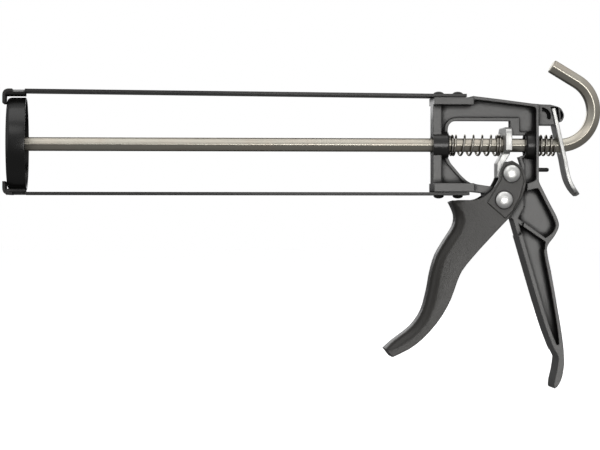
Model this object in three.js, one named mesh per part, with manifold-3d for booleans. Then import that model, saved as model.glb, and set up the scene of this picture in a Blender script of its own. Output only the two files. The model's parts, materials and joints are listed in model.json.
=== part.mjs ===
// Skeleton caulking gun for 310 ml cartridges, in millimetres.
// X runs along the push rod, with the nozzle end at -X. Z is up, and Y = 0 is the mid-plane.
// The parts are drawn with X = 0 on the casting's cartridge seat and Z = 0 on the rod's axis.
// The whole gun is then moved so that the middle of its bounding box is the origin.

import * as THREE from 'three';
import { mergeVertices } from 'three/addons/utils/BufferGeometryUtils.js';
import Module from 'manifold-3d';

const wasm = await Module();
wasm.setup();

// ---- Driving dimensions ----
const gap = 0.3; // between neighbouring pieces
const bay = 219.5; // seat to the inside of the front hooks, for a 215 mm cartridge
const rodFlats = 7;
const rodCorner = rodFlats / Math.sqrt(3);
const rodBore = rodCorner + 0.36;

const stripThick = 1.5;
const stripHalf = 9.4;
const topStripRear = 24.7; // strips' inner faces, above and below the rod
const topStripFront = 26.4;
const bottomStripLevel = 24.6;
const saddleRadius = 26;
const saddleLength = 9.9;
const rivetPlaces = [3.6, 13.6]; // the strips' rivets

const webHalf = 2.25;
const rimHalf = 3.2;
const noseHalf = 7.4;
const flangeHalf = 9;
const padHalf = 10; // the casting under the strips
const lugHalf = 6.9; // the casting between the trigger's cheeks
const blockHalf = 5.4; // the column behind the cartridge seat
const boreBossRadius = 7.6;
const frontBossEnd = 8.4;
const rearBossEnd = 55.4;

const cheekInner = 7.3;
const cheekOuter = 9.3;
const pivot = { x: 36.4, z: -28.6 };
const drivePin = { x: 40.3, z: -14.9 };
const pinRadius = 2.2;
const sleeveRadius = 3.1;

const plateFront = 36.85;
const plateThick = 3.4;
const plateHalf = 12;
const plateTop = 9.1;
const tongueHalf = 5;
const tongueStep = 3.4; // how far the tongue is cranked forward

const leverTilt = 0.23; // run per rise of the release lever at rest
const leverAtRod = 67.1;
const leverThick = 2;
const leverHalf = 7;

const pistonRadius = 23.75;
const pistonFront = -218.8;
const pistonRear = -209;
const cupWall = 1.2;
const cupRecess = 2.4;

const hookRadius = 18;
const hookStart = 67;
const hookSweep = THREE.MathUtils.degToRad(149);
const hookTip = 15.6;

// ---- Materials ----
function paint(colour, roughness, metalness) {
  return new THREE.MeshStandardMaterial({ color: colour, roughness, metalness });
}

const looks = {
  castingPaint: () => paint(0x2b2b2c, 0.35, 0.1),
  triggerPaint: () => paint(0x3a3a39, 0.5, 0.1),
  cupPaint: () => paint(0x151515, 0.2, 0.1),
  nickel: () => paint(0xb3aca2, 0.3, 1),
  zinc: () => paint(0xd8d8d6, 0.35, 1),
  springSteel: () => paint(0xaaa79f, 0.25, 1),
  chrome: () => paint(0xdcdcdc, 0.15, 1),
};

// ---- Solids ----
function signedVolume(positions, index) {
  const a = new THREE.Vector3();
  const b = new THREE.Vector3();
  const c = new THREE.Vector3();
  let volume = 0;
  for (let i = 0; i < index.length; i += 3) {
    a.fromArray(positions, 3 * index[i]);
    b.fromArray(positions, 3 * index[i + 1]);
    c.fromArray(positions, 3 * index[i + 2]);
    volume += a.dot(b.cross(c)) / 6;
  }
  return volume;
}

function toSolid(geometry) {
  geometry.deleteAttribute('normal');
  geometry.deleteAttribute('uv');
  const merged = mergeVertices(geometry, 1e-4);
  const vertProperties = new Float32Array(merged.attributes.position.array);
  const triVerts = new Uint32Array(merged.index.array);
  if (signedVolume(vertProperties, triVerts) < 0) triVerts.reverse();
  const mesh = new wasm.Mesh({ numProp: 3, vertProperties, triVerts });
  return new wasm.Manifold(mesh);
}

function toNode(name, solid, material) {
  const mesh = solid.getMesh();
  const geometry = new THREE.BufferGeometry();
  geometry.setAttribute('position', new THREE.BufferAttribute(mesh.vertProperties, 3));
  geometry.setIndex(new THREE.BufferAttribute(mesh.triVerts, 1));
  geometry.computeVertexNormals();
  const node = new THREE.Mesh(geometry, material);
  node.name = name;
  return node;
}

function join(solids) {
  return solids.reduce((whole, solid) => whole.add(solid));
}

function cut(body, tools) {
  return tools.reduce((rest, tool) => rest.subtract(tool), body);
}

// A shape drawn in X and Z, made solid from y = from to y = to.
function acrossY(shape, from, to, curveSegments = 8) {
  const geometry = new THREE.ExtrudeGeometry(shape, {
    depth: to - from,
    bevelEnabled: false,
    curveSegments,
  });
  geometry.rotateX(Math.PI / 2);
  geometry.translate(0, to, 0);
  return toSolid(geometry);
}

// A shape drawn in Y and Z, made solid from x = from to x = to.
function alongX(shape, from, to) {
  const geometry = new THREE.ExtrudeGeometry(shape, {
    depth: to - from,
    bevelEnabled: false,
    curveSegments: 8,
  });
  geometry.rotateZ(Math.PI / 2);
  geometry.rotateY(Math.PI / 2);
  geometry.translate(from, 0, 0);
  return toSolid(geometry);
}

// Both sides of the gun at once, between two distances from the mid-plane.
function bothSides(shape, inner, outer, curveSegments = 8) {
  const near = acrossY(shape, -outer, -inner, curveSegments);
  const far = acrossY(shape, inner, outer, curveSegments);
  return near.add(far);
}

function rodX(radius, from, to, z = 0, sides = 32) {
  const geometry = new THREE.CylinderGeometry(radius, radius, to - from, sides);
  geometry.rotateZ(Math.PI / 2);
  geometry.translate((from + to) / 2, 0, z);
  return toSolid(geometry);
}

function rodY(radius, halfLength, place, sides = 28) {
  const geometry = new THREE.CylinderGeometry(radius, radius, 2 * halfLength, sides);
  geometry.translate(place.x, 0, place.z);
  return toSolid(geometry);
}

function rodZ(radius, from, to, x, sides = 20) {
  const geometry = new THREE.CylinderGeometry(radius, radius, to - from, sides);
  geometry.rotateX(Math.PI / 2);
  geometry.translate(x, 0, (from + to) / 2);
  return toSolid(geometry);
}

function box(low, high) {
  const size = new THREE.Vector3().subVectors(high, low);
  const geometry = new THREE.BoxGeometry(size.x, size.y, size.z);
  geometry.translate((low.x + high.x) / 2, (low.y + high.y) / 2, (low.z + high.z) / 2);
  return toSolid(geometry);
}

// A turned solid about the rod's axis: each point is [radius, x].
function turnedX(profile, sides = 48) {
  const points = profile.map(([radius, x]) => new THREE.Vector2(radius, x));
  const geometry = new THREE.LatheGeometry(points, sides);
  geometry.rotateZ(-Math.PI / 2);
  return toSolid(geometry);
}

function polygon(points) {
  return new THREE.Shape(points.map(([x, z]) => new THREE.Vector2(x, z)));
}

function vectors(points) {
  return points.map(([x, z]) => new THREE.Vector2(x, z));
}

// ---- Frame casting ----
const caseTop = 24.4;
const caseBottom = -24.3;
const padTopUnder = 20.7;
const padBottomTop = -19.9;
const columnFront = 4.3;
const columnRear = 54.6;
const columnInside = 53.3;
const jawUnder = 10.5;
const slotTop = 19.7;

const handleRear = [
  [54.9, -19.5],
  [56.5, -22.8],
  [60.5, -30.6],
  [64, -37.3],
  [65.1, -42],
  [63, -46.9],
  [59.2, -52.3],
  [59.2, -57],
  [61, -65.8],
  [63.7, -80.8],
  [65.9, -93.3],
  [67.4, -104],
  [67.8, -110],
];

const handleFront = [
  [62.2, -104.9],
  [57.8, -93.3],
  [52.5, -76.2],
  [47.3, -58.5],
  [44.6, -49.2],
  [41.4, -38.2],
];

function bodyShape() {
  const shape = new THREE.Shape();
  shape.moveTo(0, caseBottom);
  shape.lineTo(0, caseTop);
  shape.lineTo(17.6, caseTop);
  shape.lineTo(20.5, 25.1);
  shape.splineThru(vectors([[35, 23.4], [45.2, 22.1], [53, 21.2], [61, 20.9]]));
  shape.splineThru(vectors([[66.1, 19.2], [68.1, 15.5], [67.2, 12.5], [65.9, 11.8]]));
  shape.lineTo(65.2, 18.8);
  shape.lineTo(64.8, slotTop);
  shape.lineTo(61, slotTop);
  shape.lineTo(63.3, jawUnder);
  shape.lineTo(columnRear, jawUnder);
  shape.lineTo(columnRear, -18);
  shape.splineThru(vectors(handleRear));
  shape.lineTo(65, -110);
  shape.lineTo(63.6, -107.2);
  shape.splineThru(vectors(handleFront));
  shape.splineThru(vectors([[37, -37.6], [30.5, -34], [27.8, -29.5], [26.6, -24.9]]));
  shape.lineTo(21, caseBottom);
  return shape;
}

function tailShape() {
  const shape = new THREE.Shape();
  shape.moveTo(64.9, -108);
  shape.lineTo(67.7, -108);
  shape.splineThru(vectors([[67.8, -114], [66.7, -120.5], [64.7, -124.6], [63, -126.2]]));
  shape.quadraticCurveTo(62.3, -125.4, 63, -121.6);
  shape.splineThru(vectors([[64.3, -116], [65, -110.5], [64.9, -108]]));
  return shape;
}

// The window that the rod, main spring and drive plate work in. grow makes it larger all round.
function windowShape(grow) {
  const left = 7.9 - grow;
  const top = 12.6 + grow;
  const corner = 5.4 + grow;
  const lugFront = 40.7;
  const lugUnder = 5.2 + grow;
  const shape = new THREE.Shape();
  shape.moveTo(left, -6);
  shape.lineTo(left, top - corner);
  shape.quadraticCurveTo(left, top, left + corner, top);
  shape.lineTo(lugFront + 3 * grow, top);
  shape.lineTo(lugFront + 3 * grow, lugUnder);
  shape.lineTo(50.5, lugUnder);
  shape.lineTo(50.5, -4.4 + grow / 2);
  shape.lineTo(45.2 + grow, -6.2 - grow / 2);
  shape.lineTo(46.6 + grow, -10.4);
  shape.lineTo(46.6 + grow, -20.2);
  shape.quadraticCurveTo(46.2, -21.5 - grow, 43, -21.5 - grow);
  const curve = [[30, -21.5], [20.6, -19.9], [15.9, -16.8], [11.5, -11.9], [9.2, -9], [7.9, -6]];
  const grown = curve.map(([x, z], i) => [x - grow * Math.min(1, 0.25 * i), z - grow * (1 - 0.2 * i)]);
  shape.lineTo(...grown[0]);
  shape.splineThru(vectors(grown.slice(1)));
  return shape;
}

function mainPocketShape() {
  const shape = new THREE.Shape();
  shape.moveTo(-1, padTopUnder);
  shape.lineTo(19, padTopUnder);
  shape.quadraticCurveTo(20.3, 23.4, 22.5, 23.3);
  shape.lineTo(35, 21.9);
  shape.lineTo(51.5, 19.9);
  shape.quadraticCurveTo(columnInside, 19.6, columnInside, 17.5);
  shape.lineTo(columnInside, -17.3);
  shape.quadraticCurveTo(columnInside, -18.2, 52, -18.9);
  shape.lineTo(46, -21);
  shape.lineTo(30, padBottomTop);
  shape.lineTo(-1, padBottomTop);
  return shape;
}

// Handle pocket between the cross rib and the diagonal rib.
function upperHandlePocketShape() {
  const shape = new THREE.Shape();
  shape.moveTo(46.6, -24);
  shape.lineTo(51.4, -23);
  shape.quadraticCurveTo(53.4, -22.4, 54.4, -22.6);
  shape.splineThru(vectors([[55, -23.8], [59.1, -31.6], [62.5, -38.3], [63.5, -42], [61.9, -45.6]]));
  shape.lineTo(58.2, -48.3);
  shape.lineTo(44, -38.1);
  shape.lineTo(47.2, -32);
  return shape;
}

function lowerHandlePocketShape() {
  const shape = new THREE.Shape();
  shape.moveTo(44.4, -40.8);
  shape.lineTo(58.2, -50.2);
  shape.splineThru(vectors([[57.8, -53.6], [57.6, -57], [60.9, -74], [64, -92], [65.3, -102.6]]));
  shape.quadraticCurveTo(65.2, -104.2, 63.8, -103.4);
  shape.splineThru(vectors([[60, -93.5], [54.7, -76.3], [49.5, -58.5], [46.9, -49.4], [44.4, -40.8]]));
  return shape;
}

// What the trigger's cheeks sweep as the trigger is pulled.
function cheekSweepShape() {
  return polygon([
    [20.8, -18],
    [30, -5],
    [48.7, -5],
    [48.7, -22],
    [47.2, -31],
    [47, -40],
    [45.4, -46.5],
    [36, -50],
    [20.8, -40],
  ]);
}

function hookedGrooveShape() {
  const shape = new THREE.Shape();
  const centre = { x: 56.6, z: 14.8 };
  shape.absarc(centre.x, centre.z, 4.6, Math.PI / 2, 0, true);
  shape.absarc(centre.x + 3.6, centre.z - 0.6, 1, 0, -Math.PI, true);
  shape.absarc(centre.x, centre.z, 2.6, 0, Math.PI / 2, false);
  return shape;
}

function noseRecessShape() {
  const shape = new THREE.Shape();
  shape.moveTo(66.1, 18.2);
  shape.quadraticCurveTo(67.8, 16.8, 67.6, 15.2);
  shape.quadraticCurveTo(67.4, 13.6, 66.4, 13.2);
  return shape;
}

function rivetHoles(side) {
  const inner = side > 0 ? topStripRear : -bottomStripLevel;
  return rivetPlaces.map((x) => rodZ(2.2, inner - 4 * (side > 0), inner + 4 * (side < 0), x));
}

function bossSolids() {
  const front = turnedX([
    [0, 0],
    [boreBossRadius, 0],
    [boreBossRadius, frontBossEnd - 0.8],
    [boreBossRadius - 0.8, frontBossEnd],
    [0, frontBossEnd],
  ]);
  const rear = turnedX([
    [0, 48.6],
    [boreBossRadius - 0.8, 48.6],
    [boreBossRadius, 49.4],
    [boreBossRadius, rearBossEnd - 0.6],
    [boreBossRadius - 0.6, rearBossEnd],
    [0, rearBossEnd],
  ]);
  const peg = turnedX([
    [0, columnInside],
    [1.1, columnInside],
    [1.1, 60.7],
    [0.7, 61.4],
    [0, 61.4],
  ], 16).translate(0, 0, -12.7);
  return [front, rear, peg];
}

function castingSolid() {
  const blank = acrossY(bodyShape(), -flangeHalf, flangeHalf, 6);
  const pads = [
    box(new THREE.Vector3(0, -padHalf, padTopUnder), new THREE.Vector3(20.5, padHalf, caseTop)),
    box(new THREE.Vector3(0, -padHalf, caseBottom), new THREE.Vector3(20.8, padHalf, padBottomTop)),
  ];
  const column = box(
    new THREE.Vector3(0, -blockHalf, padBottomTop - 1),
    new THREE.Vector3(columnFront, blockHalf, padTopUnder + 1),
  );
  const pocketed = cut(blank, [
    bothSides(mainPocketShape(), webHalf, 20),
    bothSides(upperHandlePocketShape(), webHalf, 20),
    bothSides(lowerHandlePocketShape(), webHalf, 20),
    bothSides(cheekSweepShape(), lugHalf, 20),
    bothSides(polygon([[columnRear, 5], [80, 5], [80, 30], [columnRear, 30]]), noseHalf, 20),
    bothSides(hookedGrooveShape(), noseHalf - 3, 20),
    bothSides(noseRecessShape(), noseHalf - 2, 20),
  ]);
  const rim = acrossY(windowShape(1.6), -rimHalf, rimHalf);
  const tail = acrossY(tailShape(), -flangeHalf, flangeHalf);
  const solid = join([pocketed, rim, tail, column, ...pads]).subtract(acrossY(windowShape(0), -20, 20));
  return cut(join([solid, ...bossSolids()]), [
    rodX(rodBore, -1, 60),
    rodY(3, 20, pivot),
    ...rivetHoles(1),
    ...rivetHoles(-1),
  ]);
}

// ---- Strips ----
// side is 1 for the top strip and -1 for the bottom one. rear and front are the inner face's heights.
function stripSolid(side, rear, front, rearEnd, hookReach) {
  const inside = -bay;
  const bend = 2;
  const outer = bend + stripThick;
  const profile = new THREE.Shape();
  profile.moveTo(rearEnd, side * rear);
  profile.lineTo(0, side * rear);
  profile.lineTo(inside + bend, side * front);
  profile.quadraticCurveTo(inside, side * front, inside, side * (front - bend));
  profile.lineTo(inside, side * (front - hookReach));
  profile.lineTo(inside - stripThick, side * (front - hookReach));
  profile.lineTo(inside - stripThick, side * (front - bend));
  profile.quadraticCurveTo(inside - stripThick, side * (front + stripThick), inside + bend, side * (front + stripThick));
  profile.lineTo(0, side * (rear + stripThick));
  profile.lineTo(rearEnd, side * (rear + stripThick));
  const flat = acrossY(profile, -stripHalf, stripHalf);
  const rearOfSaddle = inside + saddleLength;
  const pressed = box(
    new THREE.Vector3(inside + outer, -20, Math.min(side * (front - 2), side * (front + 4))),
    new THREE.Vector3(rearOfSaddle, 20, Math.max(side * (front - 2), side * (front + 4))),
  );
  const saddle = saddleSolid(side, front, inside, rearOfSaddle);
  return cut(join([flat.subtract(pressed), saddle]), rivetPlaces.map((x) => rodZ(2.2, -40, 40, x)));
}

// The strip's end pressed to an arc that hugs the cartridge.
function saddleSolid(side, front, from, to) {
  const steps = 12;
  const halfAngle = Math.asin(stripHalf / (saddleRadius + stripThick));
  const ring = (radius, angle) => new THREE.Vector2(
    radius * Math.sin(angle),
    side * (front + radius * Math.cos(angle) - saddleRadius),
  );
  const outer = [];
  const inner = [];
  for (let i = 0; i <= steps; i += 1) {
    const angle = halfAngle * (2 * i / steps - 1);
    outer.push(ring(saddleRadius + stripThick, angle));
    inner.unshift(ring(saddleRadius, angle));
  }
  return alongX(new THREE.Shape([...outer, ...inner]), from, to);
}

// ---- Rivets ----
function domeProfile(radius, height, steps = 6) {
  const points = [];
  for (let i = 0; i <= steps; i += 1) {
    const angle = (Math.PI / 2) * (i / steps);
    points.push([radius * Math.cos(angle), height * Math.sin(angle)]);
  }
  return points;
}

// A strip rivet, head outwards. side is 1 above the gun and -1 below it.
function stripRivetSolid(side, x) {
  const seat = side > 0 ? topStripRear + stripThick + 0.1 : bottomStripLevel + stripThick + 0.1;
  const shank = 5.2;
  const dome = domeProfile(2.7, 1.6).map(([radius, height]) => new THREE.Vector2(radius, height));
  const points = [new THREE.Vector2(0, -shank), new THREE.Vector2(1.9, -shank), new THREE.Vector2(1.9, 0)];
  const geometry = new THREE.LatheGeometry([...points, ...dome], 20);
  geometry.rotateX(side * Math.PI / 2);
  geometry.translate(x, 0, side * seat);
  return toSolid(geometry);
}

// A rivet across the trigger, with a domed head outside each cheek.
function crossRivetSolid(place, shankRadius, headRadius, headHeight) {
  const seat = cheekOuter + gap;
  const dome = domeProfile(headRadius, headHeight);
  const right = dome.map(([radius, height]) => new THREE.Vector2(radius, seat + height));
  const left = dome.map(([radius, height]) => new THREE.Vector2(radius, -seat - height)).reverse();
  const shank = [new THREE.Vector2(shankRadius, -seat), new THREE.Vector2(shankRadius, seat)];
  const geometry = new THREE.LatheGeometry([...left, ...shank, ...right], 28);
  geometry.translate(place.x, 0, place.z);
  return toSolid(geometry);
}

// ---- Push rod and piston ----
class HookCurve extends THREE.Curve {
  getPoint(t, target = new THREE.Vector3()) {
    const arc = hookRadius * hookSweep;
    const lead = 1;
    const s = t * (lead + arc + hookTip) - lead;
    if (s < 0) return target.set(hookStart + s, 0, 0);
    const angle = Math.min(s, arc) / hookRadius;
    const past = Math.max(s - arc, 0);
    const x = hookStart + hookRadius * Math.sin(angle) + past * Math.cos(angle);
    const z = hookRadius * (1 - Math.cos(angle)) + past * Math.sin(angle);
    return target.set(x, 0, z);
  }
}

// A hexagon with its flats square to the shape's first axis.
function hexShape() {
  const shape = new THREE.Shape();
  for (let i = 0; i < 6; i += 1) {
    const angle = Math.PI / 6 + i * Math.PI / 3;
    const place = [rodCorner * Math.cos(angle), rodCorner * Math.sin(angle)];
    if (i === 0) shape.moveTo(...place);
    else shape.lineTo(...place);
  }
  return shape;
}

const rodFront = pistonFront + cupRecess + cupWall + 1.6 + 2 * gap;

function pushRodSolid() {
  const straight = new THREE.ExtrudeGeometry(hexShape(), {
    depth: hookStart - rodFront,
    bevelEnabled: false,
  });
  straight.rotateY(Math.PI / 2);
  straight.translate(rodFront, 0, 0);
  const hook = new THREE.ExtrudeGeometry(hexShape(), { extrudePath: new HookCurve(), steps: 34 });
  return toSolid(straight).add(toSolid(hook)).subtract(rodX(2.7, rodFront - 1, rodFront + 14, 0, 20));
}

function pistonCupSolid() {
  const front = pistonFront;
  const floor = pistonFront + cupWall;
  const bend = 2.5;
  const profile = [
    [2.9, front + cupRecess],
    [7.4, front + cupRecess],
    [8.6, front],
    [pistonRadius - bend, front],
    [pistonRadius - 0.3 * bend, front + 0.3 * bend],
    [pistonRadius, front + bend],
    [pistonRadius, pistonRear],
    [pistonRadius - cupWall, pistonRear],
    [pistonRadius - cupWall, front + bend],
    [pistonRadius - bend, floor],
    [9.4, floor],
    [8.2, front + cupRecess + cupWall],
    [2.9, front + cupRecess + cupWall],
    [2.9, front + cupRecess],
  ];
  return turnedX(profile);
}

function pistonWasherSolid() {
  const from = pistonFront + cupRecess + cupWall + gap;
  return rodX(7.6, from, from + 1.6).subtract(rodX(2.7, from - 1, from + 3));
}

function pistonScrewSolid() {
  const seat = pistonFront + cupRecess - gap;
  const headFront = seat - 1.9;
  const head = rodX(4.6, headFront, seat, 0, 28).add(rodX(2.4, seat - 0.5, rodFront + 12, 0, 20));
  const slot = box(new THREE.Vector3(headFront - 1, -5, -0.6), new THREE.Vector3(headFront + 1, 5, 0.6));
  return head.subtract(slot);
}

// ---- Springs ----
class CoilCurve extends THREE.Curve {
  constructor(from, to, radius, turns, closed, closedPitch) {
    super();
    Object.assign(this, { from, to, radius, turns, closed, closedPitch });
  }

  // How far along the axis the wire is after a number of turns.
  reach(turn) {
    const ends = this.closed * this.closedPitch;
    const open = this.turns - 2 * this.closed;
    const pitch = (this.to - this.from - 2 * ends) / open;
    if (turn < this.closed) return turn * this.closedPitch;
    if (turn < this.closed + open) return ends + (turn - this.closed) * pitch;
    return ends + open * pitch + (turn - this.closed - open) * this.closedPitch;
  }

  getPoint(t, target = new THREE.Vector3()) {
    const turn = t * this.turns;
    const angle = 2 * Math.PI * turn;
    const x = this.from + this.reach(turn);
    return target.set(x, this.radius * Math.sin(angle), this.radius * Math.cos(angle));
  }
}

function springSolid(from, to, wire, turns, closed) {
  const radius = 5.2;
  const end = wire + 0.15;
  const path = new CoilCurve(from + end, to - end, radius, turns, closed, 2 * wire + 0.18);
  const section = new THREE.Shape();
  section.absarc(0, 0, wire, 0, 2 * Math.PI);
  const geometry = new THREE.ExtrudeGeometry(section, {
    extrudePath: path,
    steps: Math.round(turns * 12),
    curveSegments: 6,
  });
  return toSolid(geometry);
}

// ---- Drive plate ----
function drivePlateSolid() {
  const rear = plateFront + plateThick;
  const side = polygon([
    [plateFront, plateTop],
    [rear, plateTop],
    [rear, -4.6],
    [rear - tongueStep, -10.2],
    [rear - tongueStep, -17],
    [plateFront - tongueStep, -17],
    [plateFront - tongueStep, -9.4],
    [plateFront, -3.8],
  ]);
  const face = new THREE.Shape();
  face.moveTo(-tongueHalf, -18);
  face.lineTo(tongueHalf, -18);
  face.lineTo(tongueHalf, -5);
  face.quadraticCurveTo(tongueHalf, -3, plateHalf, -3);
  face.lineTo(plateHalf, 5.5);
  face.quadraticCurveTo(plateHalf, plateTop, 7, plateTop);
  face.lineTo(-7, plateTop);
  face.quadraticCurveTo(-plateHalf, plateTop, -plateHalf, 5.5);
  face.lineTo(-plateHalf, -3);
  face.quadraticCurveTo(-tongueHalf, -3, -tongueHalf, -5);
  const plate = acrossY(side, -20, 20).intersect(alongX(face, 20, 60));
  return plate.subtract(rodX(rodCorner + 0.5, 20, 60));
}

// ---- Release lever ----
const leverMiddle = [
  [leverAtRod - leverTilt * 19.2, 19.2],
  [leverAtRod + leverTilt * 7.8, -7.8],
  [69.9, -13.3],
  [71.1, -17.9],
  [73.3, -22.3],
  [76, -26],
];

function leverProfile() {
  const bend = new THREE.SplineCurve(vectors(leverMiddle.slice(1))).getPoints(12);
  const middle = [...vectors(leverMiddle.slice(0, 1)), ...bend];
  const front = [];
  const rear = [];
  middle.forEach((point, i) => {
    const before = middle[Math.max(i - 1, 0)];
    const after = middle[Math.min(i + 1, middle.length - 1)];
    const along = after.clone().sub(before).normalize();
    const across = new THREE.Vector2(along.y, -along.x).multiplyScalar(leverThick / 2);
    front.push(point.clone().add(across));
    rear.unshift(point.clone().sub(across));
  });
  return new THREE.Shape([...front, ...rear]);
}

function releaseLeverSolid() {
  const face = new THREE.Shape();
  face.moveTo(-leverHalf, 30);
  face.lineTo(leverHalf, 30);
  face.lineTo(leverHalf, -21);
  face.quadraticCurveTo(leverHalf, -27, 0, -27.2);
  face.quadraticCurveTo(-leverHalf, -27, -leverHalf, -21);
  const hole = new THREE.Shape();
  hole.absellipse(0, 0, 4.6, 4.3, 0, 2 * Math.PI);
  const plate = acrossY(leverProfile(), -20, 20).intersect(alongX(face, 50, 90));
  return plate.subtract(alongX(hole, 50, 90));
}

// ---- Trigger ----
const triggerTop = -28.6;
const triggerWall = 2;
const frontRound = 5;

const triggerFront = [
  [9, -29.7],
  [11.6, -36],
  [10.8, -42],
  [6.3, -49.2],
  [1.8, -57],
  [-0.9, -65.8],
  [-2.6, -75],
  [-5.6, -85.5],
  [-11.3, -93.8],
  [-20.6, -101],
  [-25.2, -105.2],
];

const triggerRear = [
  [-21.6, -109.6],
  [-12.2, -105],
  [-4.4, -98.7],
  [3.3, -89.6],
  [8.5, -80.3],
  [12.3, -69.9],
  [15.2, -64.2],
  [22, -56],
  [32.5, -44.7],
  [38.4, -38.6],
];

// A line moved towards the trigger's inside. It moves less near both of its ends.
function insetLine(line, distance) {
  const last = line.length - 1;
  return line.map((point, i) => {
    const along = line[Math.min(i + 1, last)].clone().sub(line[Math.max(i - 1, 0)]).normalize();
    const move = distance * Math.min(1, 0.2 + 0.2 * i, 0.3 + 0.2 * (last - i));
    return new THREE.Vector2(point.x - along.y * move, point.y + along.x * move);
  });
}

// The rest of the trigger's outline, from its tip round the rear and the cheeks to its top.
function triggerRest() {
  const rear = new THREE.SplineCurve(vectors(triggerRear)).getPoints(20);
  const cheek = vectors([[41.5, -34], [45.9, -26.4], [47.9, -18.6], [45.9, -11.8], [40.6, -8.2]]);
  const top = vectors([[36.9, -9.2], [35.2, -13], [33.6, -18.2], [30.3, -23.3], [24.6, -27.6], [19.4, triggerTop]]);
  return [
    ...rear,
    ...new THREE.SplineCurve(cheek).getPoints(16),
    ...new THREE.SplineCurve(top).getPoints(18),
    new THREE.Vector2(12, triggerTop),
  ];
}

// A solid whose outline changes from layer to layer across the gun. Each layer has a y and its points.
function layered(layers) {
  const count = layers[0].points.length;
  const positions = layers.flatMap(({ y, points }) => points.flatMap((point) => [point.x, y, point.y]));
  const index = [];
  for (let j = 0; j + 1 < layers.length; j += 1) {
    for (let i = 0; i < count; i += 1) {
      const a = j * count + i;
      const b = j * count + (i + 1) % count;
      index.push(a, b, b + count, a, b + count, a + count);
    }
  }
  const end = (layers.length - 1) * count;
  THREE.ShapeUtils.triangulateShape(layers[0].points, []).forEach(([a, b, c]) => index.push(c, b, a));
  THREE.ShapeUtils.triangulateShape(layers[layers.length - 1].points, [])
    .forEach(([a, b, c]) => index.push(end + a, end + b, end + c));
  const geometry = new THREE.BufferGeometry();
  geometry.setAttribute('position', new THREE.Float32BufferAttribute(positions, 3));
  geometry.setIndex(index);
  return toSolid(geometry);
}

// Layers whose front edges are rounded, from one side of the trigger to the other.
function roundedLayers(half, round, wall, outline) {
  const steps = 5;
  const layers = [];
  for (let j = -steps; j <= steps; j += 1) {
    const angle = (Math.PI / 2) * Math.abs(j) / steps;
    const y = Math.sign(j) * (half - round + round * Math.sin(angle));
    const points = outline(wall + round * (1 - Math.cos(angle)));
    if (j === 0) layers.push({ y: -(half - round), points }, { y: half - round, points });
    else layers.push({ y, points });
  }
  return layers;
}

function triggerSolid() {
  const front = new THREE.SplineCurve(vectors(triggerFront)).getPoints(30);
  const rest = triggerRest();
  const blank = layered(roundedLayers(cheekOuter, frontRound, 0, (inset) => [
    ...insetLine(front, inset),
    ...rest,
  ]));
  const hollow = layered(roundedLayers(cheekInner, frontRound - triggerWall, triggerWall, (inset) => {
    const line = insetLine(front, inset).slice(0, -2);
    const opening = vectors([[-8, -112], [60, -60], [60, 0]]);
    return [new THREE.Vector2(line[0].x, 0), ...line, ...opening];
  }));
  return cut(blank, [
    hollow,
    rodY(3, 20, pivot),
    rodY(pinRadius + gap, 20, drivePin),
  ]);
}

function driveSleeveSolid() {
  const length = cheekInner - gap;
  return rodY(sleeveRadius, length, drivePin).subtract(rodY(pinRadius + gap, 20, drivePin));
}

// ---- Assembly ----
function frameNodes() {
  const topRivet = (x) => stripRivetSolid(1, x);
  const bottomRivet = (x) => stripRivetSolid(-1, x);
  return [
    toNode('frame_casting', castingSolid(), looks.castingPaint()),
    toNode('top_strip', stripSolid(1, topStripRear, topStripFront, 17, 5.7), looks.castingPaint()),
    toNode('bottom_strip', stripSolid(-1, bottomStripLevel, bottomStripLevel, 18.4, 5.4), looks.castingPaint()),
    toNode('top_rivet_front', topRivet(rivetPlaces[0]), looks.castingPaint()),
    toNode('top_rivet_rear', topRivet(rivetPlaces[1]), looks.castingPaint()),
    toNode('bottom_rivet_front', bottomRivet(rivetPlaces[0]), looks.castingPaint()),
    toNode('bottom_rivet_rear', bottomRivet(rivetPlaces[1]), looks.castingPaint()),
    toNode('trigger_pivot_rivet', crossRivetSolid(pivot, 2.7, 4.5, 2.2), looks.chrome()),
    toNode('main_spring', springSolid(frontBossEnd + gap, plateFront - gap, 0.6, 10, 1.75), looks.springSteel()),
    toNode('release_spring', springSolid(rearBossEnd + gap, 64.6, 0.55, 4, 0.75), looks.springSteel()),
  ];
}

function movingNodes() {
  return [
    toNode('push_rod', pushRodSolid(), looks.nickel()),
    toNode('piston_cup', pistonCupSolid(), looks.cupPaint()),
    toNode('piston_washer', pistonWasherSolid(), looks.zinc()),
    toNode('piston_screw', pistonScrewSolid(), looks.zinc()),
    toNode('drive_plate', drivePlateSolid(), looks.zinc()),
    toNode('release_lever', releaseLeverSolid(), looks.zinc()),
    toNode('trigger', triggerSolid(), looks.triggerPaint()),
    toNode('drive_pin', crossRivetSolid(drivePin, pinRadius, 4.5, 2.2), looks.chrome()),
    toNode('drive_sleeve', driveSleeveSolid(), looks.zinc()),
  ];
}

const gun = new THREE.Group();
gun.add(...frameNodes(), ...movingNodes());

const middle = new THREE.Box3().setFromObject(gun).getCenter(new THREE.Vector3());
gun.position.copy(middle).negate();

const part = new THREE.Group();
part.add(gun);

export default part;
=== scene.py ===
import json
from math import cos, pi, radians, sin

import bmesh
import bpy
from mathutils import Matrix, Vector


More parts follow.
